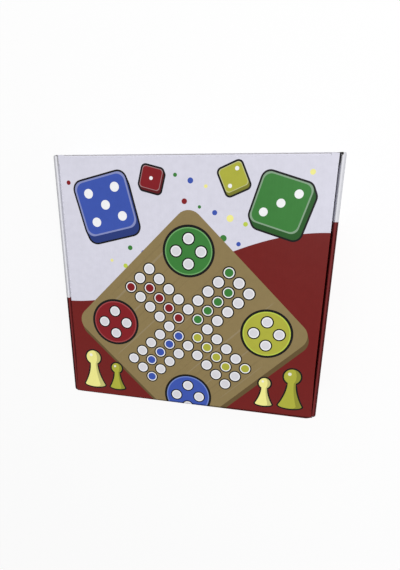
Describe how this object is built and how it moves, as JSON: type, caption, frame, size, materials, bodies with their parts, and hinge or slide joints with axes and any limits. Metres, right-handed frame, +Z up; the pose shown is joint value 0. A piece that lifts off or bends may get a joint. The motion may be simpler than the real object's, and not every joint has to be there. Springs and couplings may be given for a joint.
{
  "type": "ludo board game in its box",
  "caption": "Flat folding carton with rolled side walls and a hinged tuck-in lid, holding a rigid ludo board, pawns in several colours, a die and a folded rules sheet.",
  "frame": {"origin": "centre of the carton's underside", "axes": "+Z up through the lid, -Y towards the lid's hinge, +Y towards the wall that the lid tucks into, +X to the right of someone reading the lid with the hinge nearest them"},
  "size_m": [0.27, 0.257, 0.04],
  "materials": {
    "printed_lid": "white printed liner with a thin film, on corrugated board",
    "printed_carton": "dark red printed liner with a thin film, on corrugated board",
    "carton_inside": "unprinted pale grey-beige liner, matt",
    "board_wood": "fibreboard with a tan printed face, satin",
    "red_pawn": "gloss",
    "blue_pawn": "gloss",
    "green_pawn": "gloss",
    "yellow_pawn": "gloss",
    "die_plastic": "gloss",
    "rules_paper": "matt"
  },
  "bodies": {
    "carton": {"base_panel": "printed_carton", "tuck_wall": "printed_carton", "hinge_wall": "printed_carton", "left_tuck_ear": "carton_inside", "right_tuck_ear": "carton_inside", "left_hinge_ear": "carton_inside", "right_hinge_ear": "carton_inside", "left_side_outer": "printed_carton", "left_side_roll": "printed_carton", "left_side_inner": "carton_inside", "right_side_outer": "printed_carton", "right_side_roll": "printed_carton", "right_side_inner": "carton_inside"},
    "lid": {"lid_panel": "printed_lid"},
    "tuck_flap": {"tuck_flap": "printed_lid"},
    "left_dust_flap": {"left_dust_flap": "printed_lid"},
    "right_dust_flap": {"right_dust_flap": "printed_lid"},
    "play_board": {"play_board": "board_wood"},
    "die": {"die": "die_plastic"},
    "rules_sheet": {"rules_sheet": "rules_paper"},
    "red_pawn_1": {"red_pawn_1": "red_pawn"},
    "red_pawn_2": {"red_pawn_2": "red_pawn"},
    "red_pawn_3": {"red_pawn_3": "red_pawn"},
    "red_pawn_4": {"red_pawn_4": "red_pawn"},
    "blue_pawn_1": {"blue_pawn_1": "blue_pawn"},
    "blue_pawn_2": {"blue_pawn_2": "blue_pawn"},
    "blue_pawn_3": {"blue_pawn_3": "blue_pawn"},
    "blue_pawn_4": {"blue_pawn_4": "blue_pawn"},
    "green_pawn_1": {"green_pawn_1": "green_pawn"},
    "green_pawn_2": {"green_pawn_2": "green_pawn"},
    "green_pawn_3": {"green_pawn_3": "green_pawn"},
    "green_pawn_4": {"green_pawn_4": "green_pawn"},
    "yellow_pawn_1": {"yellow_pawn_1": "yellow_pawn"},
    "yellow_pawn_2": {"yellow_pawn_2": "yellow_pawn"},
    "yellow_pawn_3": {"yellow_pawn_3": "yellow_pawn"},
    "yellow_pawn_4": {"yellow_pawn_4": "yellow_pawn"}
  },
  "joints": [
    {"name": "lid_hinge", "type": "hinge", "parent": "carton", "child": "lid", "pos_m": [0, -0.1279, 0.0394], "axis": [1, 0, 0], "range_deg": [0, 180]},
    {"name": "tuck_flap_fold", "type": "hinge", "parent": "lid", "child": "tuck_flap", "pos_m": [0, 0.1262, 0.0394], "axis": [1, 0, 0], "range_deg": [0, 72]},
    {"name": "left_dust_flap_fold", "type": "hinge", "parent": "lid", "child": "left_dust_flap", "pos_m": [-0.1284, 0, 0.0394], "axis": [0, -1, 0], "range_deg": [0, 45]},
    {"name": "right_dust_flap_fold", "type": "hinge", "parent": "lid", "child": "right_dust_flap", "pos_m": [0.1284, 0, 0.0394], "axis": [0, 1, 0], "range_deg": [0, 45]},
    {"name": "play_board_lift", "type": "slide", "parent": "carton", "child": "play_board", "axis": [0, 0, 1], "range_m": [0, 0.009]},
    {"name": "red_pawn_1_lift", "type": "slide", "parent": "carton", "child": "red_pawn_1", "axis": [0, 0, 1], "range_m": [0, 0.009]},
    {"name": "red_pawn_2_lift", "type": "slide", "parent": "carton", "child": "red_pawn_2", "axis": [0, 0, 1], "range_m": [0, 0.009]},
    {"name": "red_pawn_3_lift", "type": "slide", "parent": "carton", "child": "red_pawn_3", "axis": [0, 0, 1], "range_m": [0, 0.009]},
    {"name": "red_pawn_4_lift", "type": "slide", "parent": "carton", "child": "red_pawn_4", "axis": [0, 0, 1], "range_m": [0, 0.009]},
    {"name": "blue_pawn_1_lift", "type": "slide", "parent": "carton", "child": "blue_pawn_1", "axis": [0, 0, 1], "range_m": [0, 0.009]},
    {"name": "blue_pawn_2_lift", "type": "slide", "parent": "carton", "child": "blue_pawn_2", "axis": [0, 0, 1], "range_m": [0, 0.009]},
    {"name": "blue_pawn_3_lift", "type": "slide", "parent": "carton", "child": "blue_pawn_3", "axis": [0, 0, 1], "range_m": [0, 0.009]},
    {"name": "blue_pawn_4_lift", "type": "slide", "parent": "carton", "child": "blue_pawn_4", "axis": [0, 0, 1], "range_m": [0, 0.009]},
    {"name": "green_pawn_1_lift", "type": "slide", "parent": "carton", "child": "green_pawn_1", "axis": [0, 0, 1], "range_m": [0, 0.009]},
    {"name": "green_pawn_2_lift", "type": "slide", "parent": "carton", "child": "green_pawn_2", "axis": [0, 0, 1], "range_m": [0, 0.009]},
    {"name": "green_pawn_3_lift", "type": "slide", "parent": "carton", "child": "green_pawn_3", "axis": [0, 0, 1], "range_m": [0, 0.009]},
    {"name": "green_pawn_4_lift", "type": "slide", "parent": "carton", "child": "green_pawn_4", "axis": [0, 0, 1], "range_m": [0, 0.009]},
    {"name": "yellow_pawn_1_lift", "type": "slide", "parent": "carton", "child": "yellow_pawn_1", "axis": [0, 0, 1], "range_m": [0, 0.009]},
    {"name": "yellow_pawn_2_lift", "type": "slide", "parent": "carton", "child": "yellow_pawn_2", "axis": [0, 0, 1], "range_m": [0, 0.009]},
    {"name": "yellow_pawn_3_lift", "type": "slide", "parent": "carton", "child": "yellow_pawn_3", "axis": [0, 0, 1], "range_m": [0, 0.009]},
    {"name": "yellow_pawn_4_lift", "type": "slide", "parent": "carton", "child": "yellow_pawn_4", "axis": [0, 0, 1], "range_m": [0, 0.009]},
    {"name": "die_lift", "type": "slide", "parent": "carton", "child": "die", "axis": [0, 0, 1], "range_m": [0, 0.009]},
    {"name": "rules_sheet_lift", "type": "slide", "parent": "carton", "child": "rules_sheet", "axis": [0, 0, 1], "range_m": [0, 0.009]}
  ],
  "couplings": [
    {"joint": "tuck_flap_fold", "follows": "lid_hinge", "ratio": 0.4},
    {"joint": "red_pawn_1_lift", "follows": "play_board_lift", "ratio": 1},
    {"joint": "red_pawn_2_lift", "follows": "play_board_lift", "ratio": 1},
    {"joint": "red_pawn_3_lift", "follows": "play_board_lift", "ratio": 1},
    {"joint": "red_pawn_4_lift", "follows": "play_board_lift", "ratio": 1},
    {"joint": "blue_pawn_1_lift", "follows": "play_board_lift", "ratio": 1},
    {"joint": "blue_pawn_2_lift", "follows": "play_board_lift", "ratio": 1},
    {"joint": "blue_pawn_3_lift", "follows": "play_board_lift", "ratio": 1},
    {"joint": "blue_pawn_4_lift", "follows": "play_board_lift", "ratio": 1},
    {"joint": "green_pawn_1_lift", "follows": "play_board_lift", "ratio": 1},
    {"joint": "green_pawn_2_lift", "follows": "play_board_lift", "ratio": 1},
    {"joint": "green_pawn_3_lift", "follows": "play_board_lift", "ratio": 1},
    {"joint": "green_pawn_4_lift", "follows": "play_board_lift", "ratio": 1},
    {"joint": "yellow_pawn_1_lift", "follows": "play_board_lift", "ratio": 1},
    {"joint": "yellow_pawn_2_lift", "follows": "play_board_lift", "ratio": 1},
    {"joint": "yellow_pawn_3_lift", "follows": "play_board_lift", "ratio": 1},
    {"joint": "yellow_pawn_4_lift", "follows": "play_board_lift", "ratio": 1},
    {"joint": "die_lift", "follows": "play_board_lift", "ratio": 1},
    {"joint": "rules_sheet_lift", "follows": "play_board_lift", "ratio": 1}
  ]
}
